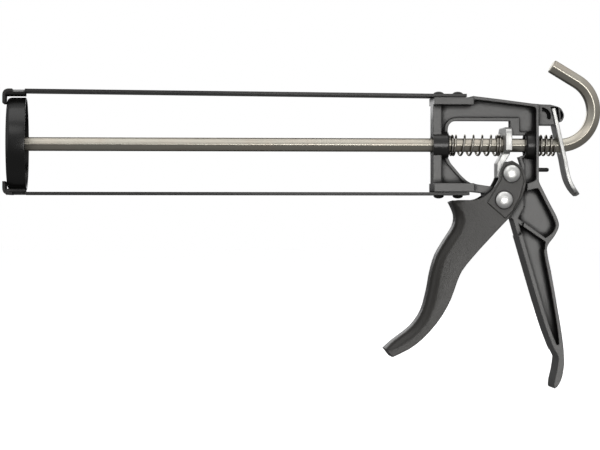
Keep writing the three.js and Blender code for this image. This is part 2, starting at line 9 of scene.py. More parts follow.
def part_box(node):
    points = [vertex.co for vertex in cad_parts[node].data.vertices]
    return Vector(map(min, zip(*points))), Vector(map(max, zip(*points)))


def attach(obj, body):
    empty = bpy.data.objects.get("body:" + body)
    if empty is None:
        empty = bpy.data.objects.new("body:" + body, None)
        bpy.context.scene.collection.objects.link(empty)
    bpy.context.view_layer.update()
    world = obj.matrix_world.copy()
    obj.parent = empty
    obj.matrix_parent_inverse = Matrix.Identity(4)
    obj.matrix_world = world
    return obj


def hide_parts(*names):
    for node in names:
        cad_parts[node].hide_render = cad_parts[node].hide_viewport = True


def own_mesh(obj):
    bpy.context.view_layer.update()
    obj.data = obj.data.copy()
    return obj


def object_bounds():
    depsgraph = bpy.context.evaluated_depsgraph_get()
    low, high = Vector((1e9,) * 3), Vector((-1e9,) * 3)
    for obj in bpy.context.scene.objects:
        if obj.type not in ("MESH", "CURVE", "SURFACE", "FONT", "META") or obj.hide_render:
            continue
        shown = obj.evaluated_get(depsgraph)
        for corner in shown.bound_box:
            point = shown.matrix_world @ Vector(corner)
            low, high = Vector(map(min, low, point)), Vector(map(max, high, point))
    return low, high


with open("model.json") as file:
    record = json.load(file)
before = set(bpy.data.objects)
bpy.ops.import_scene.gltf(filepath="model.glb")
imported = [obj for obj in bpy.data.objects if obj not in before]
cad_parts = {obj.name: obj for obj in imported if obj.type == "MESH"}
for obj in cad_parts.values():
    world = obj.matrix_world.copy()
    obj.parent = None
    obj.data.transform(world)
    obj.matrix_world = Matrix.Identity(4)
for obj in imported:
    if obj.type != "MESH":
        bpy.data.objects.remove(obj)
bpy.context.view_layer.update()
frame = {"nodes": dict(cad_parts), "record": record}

# Every place below is in gun millimetres: x = 0 on the cartridge seat, z = 0 on the rod's axis.
seatMount = next(m for m in frame["record"]["mounts"] if m["name"] == "cartridge_seat")
gunZero = Vector(seatMount["pos_m"]) - Vector((0, 0, 0.014))
mm = 0.001


def at(x, y=0.0, z=0.0):
    return Vector((x, y, z)) * mm + gunZero


def gunBox(node):
    low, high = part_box(node)
    return (low - gunZero) / mm, (high - gunZero) / mm


class Value:
    # a number or colour on its way through the nodes: plain arithmetic on it adds Math nodes
    def __init__(self, graph, socket):
        self.graph = graph
        self.socket = socket

    def math(self, operation, *terms):
        inputs = {i: term for i, term in enumerate(terms)}
        return self.graph.add("ShaderNodeMath", {"operation": operation}, inputs)["Value"]

    def __add__(self, other):
        return self.math("ADD", self, other)

    def __radd__(self, other):
        return self.math("ADD", other, self)

    def __sub__(self, other):
        return self.math("SUBTRACT", self, other)

    def __rsub__(self, other):
        return self.math("SUBTRACT", other, self)

    def __mul__(self, other):
        return self.math("MULTIPLY", self, other)

    def __rmul__(self, other):
        return self.math("MULTIPLY", other, self)

    def __truediv__(self, other):
        return self.math("DIVIDE", self, other)

    def smallest(self, other):
        return self.math("MINIMUM", self, other)

    def largest(self, other):
        return self.math("MAXIMUM", self, other)

    def clamped(self):
        return self.smallest(1.0).largest(0.0)


class Outputs:
    def __init__(self, graph, node):
        self.graph = graph
        self.node = node

    def __getitem__(self, name):
        return Value(self.graph, self.node.outputs[name])


class Graph:
    # a node tree, for a material or for Geometry Nodes
    def __init__(self, tree):
        self.tree = tree

    def add(self, kind, settings=None, inputs=None):
        node = self.tree.nodes.new(kind)
        for name, value in (settings or {}).items():
            setattr(node, name, value)
        for name, value in (inputs or {}).items():
            socket = node.inputs[name]
            if isinstance(value, Value):
                self.tree.links.new(value.socket, socket)
            else:
                socket.default_value = value
        return Outputs(self, node)

    def noise(self, coords, scale, detail=3.0, roughness=0.5):
        inputs = {"Vector": coords, "Scale": scale, "Detail": detail, "Roughness": roughness}
        return self.add("ShaderNodeTexNoise", {"noise_dimensions": "3D"}, inputs)["Fac"]

    def band(self, value, low, high):
        # 0 below low, 1 above high, smooth between
        settings = {"interpolation_type": "SMOOTHSTEP"}
        inputs = {"Value": value, "From Min": low, "From Max": high}
        return self.add("ShaderNodeMapRange", settings, inputs)["Result"]

    def blend(self, factor, first, second, how="MIX"):
        settings = {"data_type": "RGBA", "blend_type": how}
        node = self.add("ShaderNodeMix", settings, {0: factor, 6: first, 7: second})
        return Value(self, node.node.outputs[2])

    def stretched(self, coords, scale):
        return self.add("ShaderNodeMapping", None, {"Vector": coords, "Scale": scale})["Vector"]


def rgb(hexColour):
    # sRGB hex to the linear colour that sockets take
    parts = [int(hexColour[i:i + 2], 16) / 255 for i in (0, 2, 4)]
    linear = [p / 12.92 if p < 0.04045 else ((p + 0.055) / 1.055) ** 2.4 for p in parts]
    return (*linear, 1)


def newLook(name, coordinate="Object"):
    material = bpy.data.materials.new(name)
    material.use_nodes = True
    tree = material.node_tree
    tree.nodes.clear()
    graph = Graph(tree)
    coords = graph.add("ShaderNodeTexCoord")[coordinate]
    return material, graph, coords


def roundedNormal(graph, radius):
    return graph.add("ShaderNodeBevel", {"samples": 6}, {"Radius": radius})["Normal"]


def finishLook(graph, inputs, height=None, depth=0.0001, edges=None):
    # one Principled surface, with a bump from height and a normal that rounds the edges
    inputs = dict(inputs)
    if height is not None:
        bump = {"Height": height, "Distance": depth}
        if edges is not None:
            bump["Normal"] = edges
        inputs["Normal"] = graph.add("ShaderNodeBump", None, bump)["Normal"]
    surface = graph.add("ShaderNodeBsdfPrincipled", None, inputs)["BSDF"]
    graph.add("ShaderNodeOutputMaterial", None, {"Surface": surface})


def edgeMask(graph, edges):
    # near 1 along outer and inner edges, 0 on the flats
    plain = graph.add("ShaderNodeNewGeometry")["Normal"]
    settings = {"operation": "DOT_PRODUCT"}
    facing = graph.add("ShaderNodeVectorMath", settings, {0: edges, 1: plain})["Value"]
    return graph.band(1.0 - facing, 0.01, 0.22)


castPaint = {
    "colour": "201f1d",
    "hollowColour": "060606",  # painted shade in corners and pockets
    "cloudColour": "2a2928",
    "wornColour": "4d4b49",
    "roughness": 0.32,
    "orangePeel": 620.0,  # bumps per metre
    "peelDepth": 0.00006,
    "wear": 0.35,
    "coat": 0.3,
    "edgeRound": 0.0007,  # metres, as the edges shade
    "hollowReach": 0.004,
    "hollowRoughness": 0.5,
}


def makePaint(name, paint):
    material, graph, coords = newLook(name)
    peel = graph.noise(coords, paint["orangePeel"], 2.0, 0.45)
    grit = graph.noise(coords, paint["orangePeel"] * 5, 2.0, 0.6)
    cloudy = graph.noise(coords, 38.0, 4.0, 0.6)
    reach = {"Distance": paint["hollowReach"]}
    # ambient occlusion drives painted shade: the colour goes near black in corners and pockets
    hollow = graph.add("ShaderNodeAmbientOcclusion", {"samples": 8}, reach)["AO"]
    unshaded = graph.band(hollow, 0.5, 0.92)
    edges = roundedNormal(graph, paint["edgeRound"])
    edge = edgeMask(graph, edges)
    chips = graph.band(graph.noise(coords, 900.0, 5.0, 0.7), 0.52, 0.72)
    worn = edge * chips * paint["wear"]
    # painted shade: near black where occluded
    colour = graph.blend(unshaded, rgb(paint["hollowColour"]), rgb(paint["colour"]))
    colour = graph.blend(cloudy * 0.25, colour, rgb(paint["cloudColour"]))
    colour = graph.blend(worn, colour, rgb(paint["wornColour"]))
    roughness = paint["roughness"] + 0.1 * (cloudy - 0.5) + 0.06 * (grit - 0.5) + 0.15 * worn
    roughness = roughness + paint["hollowRoughness"] * (1.0 - unshaded)
    inputs = {
        "Base Color": colour,
        "Roughness": roughness,
        "Coat Weight": unshaded * paint["coat"],
        "Coat Roughness": 0.12,
    }
    finishLook(graph, inputs, peel + 0.3 * grit, paint["peelDepth"], edges)
    return material


cupPaint = dict(castPaint, colour="050505", roughness=0.27, coat=0.1, wear=0.2)
cupPaint.update(orangePeel=420.0, peelDepth=0.00003)
# the trigger's painted shade in its hollows is a touch lighter
triggerPaint = dict(castPaint, colour="33312e", hollowColour="0b0b0a", roughness=0.38)
triggerPaint.update(coat=0.1, peelDepth=0.00008, orangePeel=900.0)
stripPaint = dict(castPaint, colour="242322", roughness=0.4, coat=0.1)
stripPaint.update(peelDepth=0.00003, edgeRound=0.0004)

rodNickel = {
    "colour": "c6c2b6",
    "tint": "cdb9a8",  # the warm cast of heat and handling
    "dark": "908b80",
    "roughness": 0.3,
    "drawLines": 2400.0,
}


def makeRodNickel(name, nickel):
    # its UV map has metres along the rod in x and round it in y, so the draw lines follow the hook
    material, graph, coords = newLook(name, "UV")
    lines = graph.noise(graph.stretched(coords, (9.0, nickel["drawLines"], 1)), 1.0, 3.0, 0.6)
    fine = graph.noise(graph.stretched(coords, (40.0, nickel["drawLines"] * 4, 1)), 1.0, 2.0, 0.5)
    patches = graph.noise(graph.stretched(coords, (28.0, 60.0, 1)), 1.0, 4.0, 0.6)
    scuffs = graph.noise(graph.stretched(coords, (700.0, 160.0, 1)), 1.0, 5.0, 0.7)
    scuffs = graph.band(scuffs, 0.6, 0.7)
    warm = graph.band(patches, 0.42, 0.72) * 0.4
    colour = graph.blend(warm, rgb(nickel["colour"]), rgb(nickel["tint"]))
    colour = graph.blend(graph.band(lines, 0.5, 0.85) * 0.5, colour, rgb(nickel["dark"]))
    roughness = nickel["roughness"] + 0.14 * (lines - 0.5) + 0.1 * (fine - 0.5) + 0.12 * scuffs
    inputs = {"Base Color": colour, "Metallic": 1.0, "Roughness": roughness}
    finishLook(graph, inputs, lines + 0.4 * fine + 0.5 * scuffs, 0.00002)
    return material


plateZinc = {
    "colour": "dcdcda",
    "dull": "b3b4b4",
    "spot": "8e8f8e",
    "roughness": 0.38,
    "grain": 260.0,
    "edgeRound": 0.0004,
}


def makeZinc(name, zinc):
    material, graph, coords = newLook(name)
    inputs = {"Vector": coords, "Scale": zinc["grain"]}
    spangle = graph.add("ShaderNodeTexVoronoi", None, inputs)["Distance"]
    cloudy = graph.noise(coords, 120.0, 4.0, 0.6)
    brushed = graph.noise(graph.stretched(coords, (2600, 260, 260)), 1.0, 3.0, 0.6)
    pits = graph.band(graph.noise(coords, 1500.0, 4.0, 0.7), 0.66, 0.74)
    edges = roundedNormal(graph, zinc["edgeRound"])
    edge = edgeMask(graph, edges)
    dull = graph.band(cloudy, 0.4, 0.7) * 0.6
    colour = graph.blend(dull, rgb(zinc["colour"]), rgb(zinc["dull"]))
    colour = graph.blend((pits * 0.5 + edge * 0.25).clamped(), colour, rgb(zinc["spot"]))
    roughness = zinc["roughness"] + 0.12 * (cloudy - 0.5) + 0.1 * (brushed - 0.5)
    roughness = roughness + 0.1 * spangle - 0.1 * edge
    inputs = {"Base Color": colour, "Metallic": 0.9, "Roughness": roughness}
    finishLook(graph, inputs, 0.5 * brushed + 0.3 * spangle - 0.4 * pits, 0.00003, edges)
    return material


springWire = {
    "colour": "bdb9b0",
    "oil": "6a5b45",  # brownish: painted shade in the creases between coils, plus a random oil film
    "roughness": 0.22,
}


def makeSpringSteel(name, wire):
    material, graph, coords = newLook(name)
    drawn = graph.noise(graph.stretched(coords, (900, 300, 300)), 1.0, 3.0, 0.6)
    film = graph.noise(coords, 420.0, 4.0, 0.65)
    # occlusion paints shade between the coils; the film noise adds random oil patches
    close = graph.add("ShaderNodeAmbientOcclusion", {"samples": 6}, {"Distance": 0.0012})["AO"]
    shadeAndOilMask = ((1.0 - close) * 0.9 + graph.band(film, 0.5, 0.75) * 0.35).clamped()
    colour = graph.blend(shadeAndOilMask, rgb(wire["colour"]), rgb(wire["oil"]))
    roughness = wire["roughness"] + 0.15 * (drawn - 0.5) + 0.15 * shadeAndOilMask
    inputs = {"Base Color": colour, "Metallic": 1.0, "Roughness": roughness}
    finishLook(graph, inputs, drawn, 0.00002)
    return material


rivetChrome = {
    "colour": "f4f4f2",
    # painted shade round the foot of each head
    "lowColour": "6f6c68",
    "roughness": 0.34,
    "dimples": 700.0,
}


def makeChrome(name, chrome):
    material, graph, coords = newLook(name)
    dents = graph.noise(coords, chrome["dimples"], 2.0, 0.4)
    scratches = graph.noise(graph.stretched(coords, (5200, 500, 700)), 1.0, 4.0, 0.7)
    smudge = graph.noise(coords, 220.0, 3.0, 0.6)
    # occlusion paints shade where each head meets the part
    low = graph.add("ShaderNodeAmbientOcclusion", {"samples": 6}, {"Distance": 0.0015})["AO"]
    colour = graph.blend(graph.band(low, 0.3, 0.85), rgb(chrome["lowColour"]), rgb(chrome["colour"]))
    roughness = chrome["roughness"] + 0.1 * graph.band(scratches, 0.55, 0.7) + 0.1 * (smudge - 0.5)
    inputs = {"Base Color": colour, "Metallic": 1.0, "Roughness": roughness}
    finishLook(graph, inputs, dents + 0.25 * scratches, 0.00005)
    return material


looks = {
    "casting": makePaint("castingPaint", castPaint),
    "strip": makePaint("stripPaint", stripPaint),
    "trigger": makePaint("triggerPaint", triggerPaint),
    "cup": makePaint("cupPaint", cupPaint),
    "nickel": makeRodNickel("nickelSteel", rodNickel),
    "zinc": makeZinc("zincSteel", plateZinc),
    "spring": makeSpringSteel("springSteel", springWire),
    "chrome": makeChrome("rivetChrome", rivetChrome),
}
print("finishes made:", len(looks))


def addPiece(name, mesh, look):
    piece = bpy.data.objects.new(name, mesh)
    bpy.context.scene.collection.objects.link(piece)
    mesh.materials.clear()
    mesh.materials.append(looks[look])
    return piece


def meshFrom(name, points, faces):
    mesh = bpy.data.meshes.new(name)
    mesh.from_pydata([tuple(p) for p in points], [], faces)
    shape = bmesh.new()
    shape.from_mesh(mesh)
    bmesh.ops.remove_doubles(shape, verts=shape.verts, dist=1e-7)
    bmesh.ops.recalc_face_normals(shape, faces=shape.faces)
    shape.to_mesh(mesh)
    shape.free()
    return mesh


def smooth(mesh, degrees=30):
    mesh.shade_smooth()
    mesh.set_sharp_from_angle(angle=radians(degrees))


def settle(piece):
    # the modifiers' result as one plain mesh
    bpy.context.view_layer.update()
    graph = bpy.context.evaluated_depsgraph_get()
    evaluated = piece.evaluated_get(graph)
    mesh = bpy.data.meshes.new_from_object(evaluated, preserve_all_data_layers=True, depsgraph=graph)
    piece.modifiers.clear()
    piece.data = mesh
    return piece


def place(piece, body, slot, *nodes):
    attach(piece, body)
    if nodes:
        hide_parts(*nodes)
    return piece


def markEdges(shape, outer, inner):
    # a bevel weight for each edge: outer and inner are widths in mm, cut down where a face is narrow
    weight = shape.edges.layers.float.new("bevel_weight_edge")
    widest = max(outer, inner)
    for edge in shape.edges:
        if len(edge.link_faces) != 2:
            continue
        angle = edge.calc_face_angle_signed(0)
        if abs(angle) < radians(26):
            continue
        length = max(edge.calc_length(), 1e-6)
        room = min(face.calc_area() / length for face in edge.link_faces) / mm
        wanted = inner if angle < 0 else outer
        edge[weight] = min(wanted, 0.4 * room) / widest
    return widest


def cleaned(node, name, look):
    # a merged copy of a CAD node: flats stay flat, and shallow steps shade as curves
    shape = bmesh.new()
    shape.from_mesh(frame["nodes"][node].data)
    bmesh.ops.remove_doubles(shape, verts=shape.verts, dist=2e-6)
    shape.verts.index_update()
    points = [vertex.co.copy() for vertex in shape.verts]
    faces = [[vertex.index for vertex in face.verts] for face in shape.faces]
    shape.free()
    mesh = meshFrom(name, points, faces)
    smooth(mesh, 32)
    return addPiece(name, mesh, look)


def softened(node, name, look, outer=0.4, inner=0.4, segments=3):
    # a copy of a CAD node with its flats joined and its edges rounded
    shape = bmesh.new()
    shape.from_mesh(frame["nodes"][node].data)
    bmesh.ops.remove_doubles(shape, verts=shape.verts, dist=2e-6)
    bmesh.ops.dissolve_limit(shape, angle_limit=radians(0.7), verts=shape.verts, edges=shape.edges)
    widest = markEdges(shape, outer, inner)
    mesh = bpy.data.meshes.new(name)
    shape.to_mesh(mesh)
    shape.free()
    for layer in list(mesh.uv_layers):
        mesh.uv_layers.remove(layer)
    piece = addPiece(name, mesh, look)
    mesh.shade_smooth()
    bevel = piece.modifiers.new("roundEdges", "BEVEL")
    bevel.limit_method = "WEIGHT"
    bevel.width = widest * mm
    bevel.segments = segments
    bevel.use_clamp_overlap = False
    bevel.miter_outer = "MITER_ARC"
    weighted = piece.modifiers.new("flatNormals", "WEIGHTED_NORMAL")
    weighted.weight = 100
    return settle(piece)


def joinMeshes(piece, others):
    # adds plain meshes to a piece
    for other in others:
        other.materials.append(piece.data.materials[0])
    helpers = []
    for i, other in enumerate(others):
        helper = bpy.data.objects.new(f"{piece.name}Extra{i}", other)
        bpy.context.scene.collection.objects.link(helper)
        helpers.append(helper)
    with bpy.context.temp_override(active_object=piece, selected_editable_objects=[piece, *helpers]):
        bpy.ops.object.join()
    return piece


def turned(name, profile, along="x", centre=(0, 0, 0), steps=96, sharp=30):
    # a turned solid: profile points are (radius, distance along the axis), in mm
    points = []
    faces = []
    for radius, distance in profile:
        for i in range(steps):
            angle = 2 * pi * i / steps
            a, b = radius * cos(angle), radius * sin(angle)
            local = {"x": (distance, a, b), "y": (a, distance, b), "z": (a, b, distance)}[along]
            points.append(at(*(c + d for c, d in zip(centre, local))))
    for j in range(len(profile) - 1):
        for i in range(steps):
            k = (i + 1) % steps
            faces.append((j * steps + i, j * steps + k, (j + 1) * steps + k, (j + 1) * steps + i))
    mesh = meshFrom(name, points, faces)
    smooth(mesh, sharp)
    return mesh


def rounded(points, radii, steps=5):
    # a line of (radius, distance) points with its inner corners rounded
    line = [points[0]]
    for i in range(1, len(points) - 1):
        before, here, after = (Vector(p) for p in (points[i - 1], points[i], points[i + 1]))
        size = radii[i] if i < len(radii) else 0
        if size <= 0:
            line.append(points[i])
            continue
        start = here + (before - here).normalized() * size
        end = here + (after - here).normalized() * size
        for k in range(steps + 1):
            t = k / steps
            spot = start * (1 - t) ** 2 + here * 2 * t * (1 - t) + end * t ** 2
            line.append((spot.x, spot.y))
    line.append(points[-1])
    return line


place(cleaned("frame_casting", "frameCasting", "casting"), "frame", "casting_paint", "frame_casting")
place(cleaned("top_strip", "topStrip", "strip"), "frame", "strip_paint", "top_strip")
place(cleaned("bottom_strip", "bottomStrip", "strip"), "frame", "strip_paint", "bottom_strip")
print("casting and strips made")


def newTree(name, inputs):
    tree = bpy.data.node_groups.new(name, "GeometryNodeTree")
    tree.interface.new_socket("Geometry", in_out="INPUT", socket_type="NodeSocketGeometry")
    tree.interface.new_socket("Geometry", in_out="OUTPUT", socket_type="NodeSocketGeometry")
    for label, kind in inputs.items():
        tree.interface.new_socket(label, in_out="INPUT", socket_type=kind)
    graph = Graph(tree)
    return tree, graph, graph.add("NodeGroupInput")


def endTree(graph, geometry, material):
    real = graph.add("GeometryNodeRealizeInstances", None, {"Geometry": geometry})["Geometry"]
    painted = graph.add("GeometryNodeSetMaterial", None, {"Geometry": real, "Material": material})
    graph.add("NodeGroupOutput", None, {"Geometry": painted["Geometry"]})


def grown(name, tree, values, look, base=None):
    # runs a tree on an object and keeps its result as a plain mesh
    piece = addPiece(name, base or bpy.data.meshes.new(name), look)
    modifier = piece.modifiers.new("grow", "NODES")
    modifier.node_group = tree
    for item in tree.interface.items_tree:
        if item.in_out == "INPUT" and item.name in values:
            modifier[item.identifier] = values[item.name]
    settle(piece)
    piece.data.materials.clear()
    piece.data.materials.append(looks[look])
    return piece


stepsPerTurn = 36.0


def springTree():
    sizes = ["Start", "Length", "Turns", "Closed Turns", "Wire Radius", "Coil Radius", "Phase"]
    inputs = {name: "NodeSocketFloat" for name in sizes}
    tree, graph, given = newTree("coilSpring", inputs)
    ends = {"Start": (0, 0, 0), "End": (1, 0, 0)}
    line = graph.add("GeometryNodeCurvePrimitiveLine", None, ends)["Curve"]
    count = given["Turns"] * stepsPerTurn + 1.0
    line = graph.add("GeometryNodeResampleCurve", None, {"Curve": line, "Count": count})["Curve"]
    turn = graph.add("GeometryNodeSplineParameter")["Factor"] * given["Turns"]
    closedPitch = given["Wire Radius"] * 2.12
    openTurns = given["Turns"] - 2.0 * given["Closed Turns"]
    closedLength = 2.0 * given["Closed Turns"] * closedPitch
    pitch = (given["Length"] - 2.0 * given["Wire Radius"] - closedLength) / openTurns
    first = turn.smallest(given["Closed Turns"]) * closedPitch
    middle = (turn - given["Closed Turns"]).largest(0.0).smallest(openTurns) * pitch
    last = (turn - given["Closed Turns"] - openTurns).largest(0.0) * closedPitch
    reach = given["Start"] + given["Wire Radius"] + first + middle + last
    angle = turn * (2 * pi) + given["Phase"]
    y = angle.math("SINE", angle) * given["Coil Radius"]
    z = angle.math("COSINE", angle) * given["Coil Radius"]
    inputs = {"X": reach + gunZero.x, "Y": y + gunZero.y, "Z": z + gunZero.z}
    spot = graph.add("ShaderNodeCombineXYZ", None, inputs)
    inputs = {"Geometry": line, "Position": spot["Vector"]}
    moved = graph.add("GeometryNodeSetPosition", None, inputs)["Geometry"]
    inputs = {"Resolution": 14, "Radius": given["Wire Radius"]}
    circle = graph.add("GeometryNodeCurvePrimitiveCircle", None, inputs)["Curve"]
    inputs = {"Curve": moved, "Profile Curve": circle, "Fill Caps": True}
    wire = graph.add("GeometryNodeCurveToMesh", None, inputs)["Mesh"]
    endTree(graph, wire, looks["spring"])
    return tree


coils = springTree()

mainCoil = {"turns": 8.2, "closed": 1.7, "wire": 0.6, "coil": 5.15, "phase": 0.4}
releaseCoil = {"turns": 3.4, "closed": 0.6, "wire": 0.55, "coil": 5.15, "phase": 2.2}

springs = [("main_spring", "mainSpring", mainCoil), ("release_spring", "releaseSpring", releaseCoil)]

for node, name, size in springs:
    low, high = gunBox(node)
    spring = grown(name, coils, {
        "Start": low.x * mm,
        "Length": (high.x - low.x) * mm,
        "Turns": size["turns"],
        "Closed Turns": size["closed"],
        "Wire Radius": size["wire"] * mm,
        "Coil Radius": size["coil"] * mm,
        "Phase": size["phase"],
    }, "spring")
    smooth(spring.data, 60)
    place(spring, "frame", "spring_steel", node)
    if node == "main_spring":
        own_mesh(spring)
    else:
        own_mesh(spring)
print("springs made")


stripRivet = {"headRadius": 2.7, "headHeight": 1.55, "skirt": 0.25, "dimple": 0.12, "seatDepth": 1.6}
stripRivetNodes = ["top_rivet_front", "top_rivet_rear", "bottom_rivet_front", "bottom_rivet_rear"]


def rivetHead(size):
    # a domed head standing on z = 0, with a shank below it
    profile = [(0.0, -1.0), (1.9, -1.0), (1.9, 0.0), (size["headRadius"] - 0.1, 0.0)]
    rise = size["headHeight"] - size["skirt"]
    steps = 10
    for i in range(steps):
        angle = pi / 2 * i / steps
        profile.append((size["headRadius"] * cos(angle), size["skirt"] + rise * sin(angle)))
    profile.append((0.0, size["headHeight"] - size["dimple"]))
    mesh = turned("rivetHead", profile, "z", steps=32, sharp=50)
    mesh.transform(Matrix.Translation(-gunZero))
    return mesh


def rivetTree():
    # a head on each point: upright above the rod, upside down below it
    tree, graph, given = newTree("rivetRow", {"Head": "NodeSocketObject", "Middle": "NodeSocketFloat"})
    settings = {"transform_space": "ORIGINAL"}
    head = graph.add("GeometryNodeObjectInfo", settings, {"Object": given["Head"]})["Geometry"]
    place = graph.add("GeometryNodeInputPosition")["Position"]
    height = graph.add("ShaderNodeSeparateXYZ", None, {"Vector": place})["Z"]
    below = given["Middle"].math("GREATER_THAN", given["Middle"], height)
    turn = graph.add("ShaderNodeCombineXYZ", None, {"X": below * pi})["Vector"]
    turn = graph.add("FunctionNodeEulerToRotation", None, {"Euler": turn})["Rotation"]
    inputs = {"Points": given["Geometry"], "Instance": head, "Rotation": turn}
    rivets = graph.add("GeometryNodeInstanceOnPoints", None, inputs)["Instances"]
    endTree(graph, rivets, looks["strip"])
    return tree


def makeStripRivets():
    seats = []
    for node in stripRivetNodes:
        low, high = gunBox(node)
        depth = stripRivet["seatDepth"]  # from the CAD head's top to its seat
        seat = high.z - depth if high.z > 0 else low.z + depth
        seats.append(tuple(at((low.x + high.x) / 2, 0, seat)))
    row = bpy.data.meshes.new("stripRivets")
    row.from_pydata(seats, [], [])
    head = addPiece("rivetHead", rivetHead(stripRivet), "strip")
    rivets = grown("stripRivets", rivetTree(), {"Head": head, "Middle": gunZero.z}, "strip", row)
    bpy.data.objects.remove(head)
    smooth(rivets.data, 50)
    return rivets


place(makeStripRivets(), "frame", "strip_paint", *stripRivetNodes)
print("strip rivets made")


crossRivet = {"headRadius": 4.5, "headHeight": 2.2, "skirt": 0.5, "shank": 2.0, "roll": 84}


def makeCrossRivet(node, name, body, size):
    low, high = gunBox(node)
    centre = ((low.x + high.x) / 2, 0, (low.z + high.z) / 2)
    seat = high.y - size["headHeight"]
    shank, radius = size["shank"], size["headRadius"]
    half = [(shank, 0.0), (shank, seat), (radius - 0.15, seat), (radius, seat + 0.15)]
    roll = radians(size["roll"])  # how far the dome turns towards its top
    steps = 12
    for i in range(1, steps + 1):
        angle = roll * i / steps
        rise = size["skirt"] + (size["headHeight"] - size["skirt"]) * sin(angle) / sin(roll)
        half.append((size["headRadius"] * cos(angle), seat + rise))
    half.append((0.0, high.y - 0.02))
    profile = [(r, -d) for r, d in reversed(half)] + half[1:]
    mesh = turned(name, profile, "y", centre, steps=64, sharp=40)
    return place(addPiece(name, mesh, "chrome"), body, "rivet_chrome", node)


makeCrossRivet("trigger_pivot_rivet", "pivotRivet", "frame", crossRivet)
makeCrossRivet("drive_pin", "drivePin", "pull", crossRivet)
print("cross rivets made")


rodShape = {
    "flats": 7.0,
    "cornerRound": 1.2,
    "hookStart": 66.98,
    "hookRadius": 18.0,
    "hookSweep": 149.0,
    "hookTip": 15.6,
    "endBreak": 0.5,
}


def rodSection(shape, shrink=0.0):
    # a hexagon with rounded corners, as (in the hook's plane, across the gun)
    corner = (shape["flats"] / 2 - shrink) / cos(pi / 6)
    r = shape["cornerRound"]
    points = []
    for k in range(6):
        middle = pi / 6 + k * pi / 3
        reach = corner - r / cos(pi / 6)
        for turn in (-30, -10, 10, 30):
            angle = middle + radians(turn)
            points.append((reach * cos(middle) + r * cos(angle), reach * sin(middle) + r * sin(angle)))
    return points


def rodPath(shape, start):
    # (place x, place z, direction angle, length so far)
    stations = []
    straight = 24
    for i in range(straight):
        x = start + (shape["hookStart"] - start) * i / straight
        stations.append((x, 0.0, 0.0, x - start))
    bends = 90
    sweep = radians(shape["hookSweep"])
    for i in range(bends + 1):
        a = sweep * i / bends
        x = shape["hookStart"] + shape["hookRadius"] * sin(a)
        z = shape["hookRadius"] * (1 - cos(a))
        stations.append((x, z, a, shape["hookStart"] - start + shape["hookRadius"] * a))
    x, z, a, s = stations[-1]
    for i in range(1, 5):
        d = shape["hookTip"] * i / 4
        stations.append((x + d * cos(a), z + d * sin(a), a, s + d))
    return stations


def makeRod(shape):
    low, high = gunBox("push_rod")
    stations = rodPath(shape, low.x)
    cut = shape["endBreak"]
    rings = [(*station, 0.0) for station in stations]
    x, z, a, s, _ = rings[0]
    rings[0] = (x + cut, z, a, s + cut, 0.0)
    rings.insert(0, (x, z, a, s, cut))
    x, z, a, s, _ = rings[-1]
    rings[-1] = (x - cut * cos(a), z - cut * sin(a), a, s - cut, 0.0)
    rings.append((x, z, a, s, cut))
    sides = len(rodSection(shape))
    points = []
    for x, z, a, s, shrink in rings:
        for u, v in rodSection(shape, shrink):
            points.append(at(x + u * sin(a), v, z - u * cos(a)))
    mesh = bpy.data.meshes.new("pushRod")
    faces = []
    for j in range(len(rings) - 1):
        for i in range(sides):
            k = (i + 1) % sides
            faces.append((j * sides + i, j * sides + k, (j + 1) * sides + k, (j + 1) * sides + i))
    faces.append(tuple(range(sides)))
    faces.append(tuple((len(rings) - 1) * sides + i for i in reversed(range(sides))))
    mesh.from_pydata([tuple(p) for p in points], [], faces)
    uv = mesh.uv_layers.new(name="alongRod")
    around = 6 * shape["flats"] / 3 ** 0.5 / sides * mm
    for face in mesh.polygons:
        columns = [mesh.loops[l].vertex_index % sides for l in face.loop_indices]
        wraps = len(columns) == 4 and max(columns) - min(columns) > 2
        for l, column in zip(face.loop_indices, columns):
            ring = mesh.loops[l].vertex_index // sides
            turn = sides if wraps and column == 0 else column
            uv.data[l].uv = (rings[ring][3] * mm, turn * around)
    shapeMesh = bmesh.new()
    shapeMesh.from_mesh(mesh)
    bmesh.ops.recalc_face_normals(shapeMesh, faces=shapeMesh.faces)
    shapeMesh.to_mesh(mesh)
    shapeMesh.free()
    smooth(mesh, 25)
    return addPiece("pushRod", mesh, "nickel")


place(makeRod(rodShape), "rod", "nickel_steel", "push_rod")
print("push rod made")


pistonShape = {"wall": 1.2, "bend": 2.6, "recess": 2.4, "rimRound": 0.5}


def makePistonCup(shape):
    low, high = gunBox("piston_cup")
    front, rear, radius = low.x, high.x, high.z
    wall = shape["wall"]
    deep = front + shape["recess"]
    profile = [
        (2.9, deep), (7.4, deep), (8.6, front), (radius, front),
        (radius, rear), (radius - wall, rear), (radius - wall, front + wall),
        (9.4, front + wall), (8.2, deep + wall), (2.9, deep + wall), (2.9, deep),
    ]
    rim = shape["rimRound"]
    radii = [0, 0.6, 0.6, shape["bend"], rim, rim, shape["bend"] - wall, 0.5, 0.5, 0, 0]
    mesh = turned("pistonCup", rounded(profile, radii), "x", steps=128, sharp=40)
    return addPiece("pistonCup", mesh, "cup")


place(makePistonCup(pistonShape), "rod", "cup_paint", "piston_cup")
screw = softened("piston_screw", "pistonScrew", "zinc", 0.3, 0.2)
place(screw, "rod", "zinc_steel", "piston_screw")
print("piston made")


pressed = {"edgeRound": 0.35, "bendRound": 1.2}

drivePlate = softened("drive_plate", "drivePlate", "zinc", pressed["edgeRound"], pressed["bendRound"])
place(drivePlate, "plate", "zinc_steel", "drive_plate")
lever = softened("release_lever", "releaseLever", "zinc", pressed["edgeRound"], pressed["bendRound"])
place(lever, "lever", "zinc_steel", "release_lever")
print("plate and lever made")


triggerShape = {"half": 9.3, "padHeight": 0.28, "padRound": 0.15, "padRoot": 0.3}


